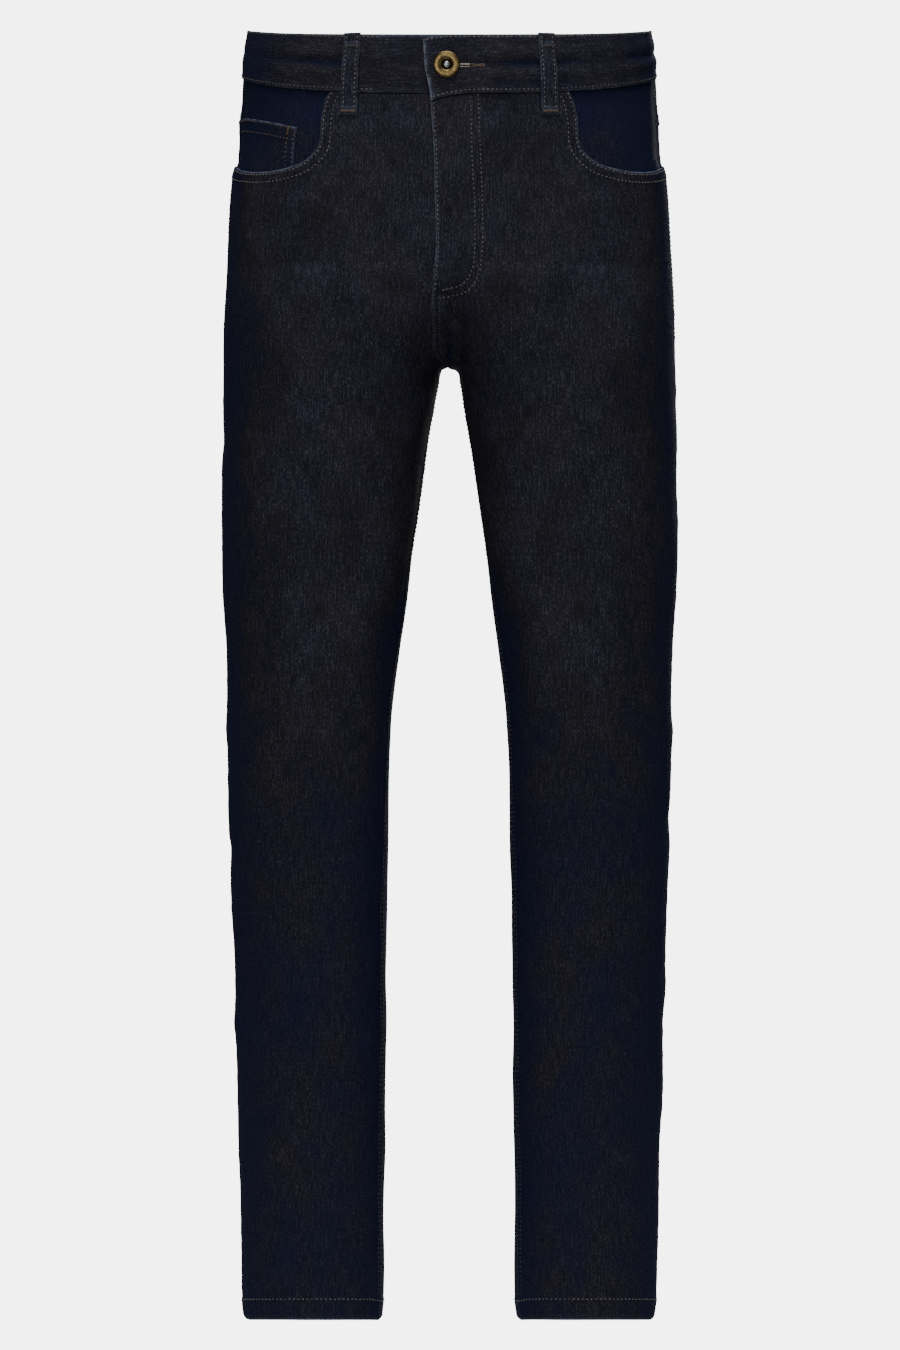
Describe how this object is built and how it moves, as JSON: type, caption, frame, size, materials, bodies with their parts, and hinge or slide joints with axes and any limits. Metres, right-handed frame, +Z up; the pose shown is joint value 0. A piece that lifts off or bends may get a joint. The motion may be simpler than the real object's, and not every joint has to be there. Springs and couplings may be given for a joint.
{
  "type": "slim fit jeans",
  "caption": "Slim five-pocket denim trousers in their worn, hollow form, with a fly, tack button, belt loops, yoke and patch pockets.",
  "frame": {"origin": "the waist mount: on the wearer's axis, 1.030 m above the hems and 20 mm below the waistband's top at the side seams", "axes": "+Z up, -Y out of the front where the fly is, +X to the wearer's left"},
  "size_m": [0.3712, 0.2496, 1.0674],
  "materials": {
    "denim": "dark indigo denim twill",
    "zip_tape": "woven tape",
    "brass": "polished, softly worn",
    "steel": "satin"
  },
  "bodies": {
    "root": {"front_left": "denim", "front_right": "denim", "back_left": "denim", "back_right": "denim", "yoke_left": "denim", "yoke_right": "denim", "waistband": "denim", "pocket_facing_left": "denim", "pocket_facing_right": "denim", "coin_pocket": "denim", "back_pocket_left": "denim", "back_pocket_right": "denim", "belt_loop_front_left": "denim", "belt_loop_front_right": "denim", "belt_loop_back_left": "denim", "belt_loop_back_right": "denim", "belt_loop_centre_back": "denim", "fly_shield": "denim", "zip": "zip_tape", "button_cap": "brass", "button_post": "steel"}
  },
  "joints": []
}
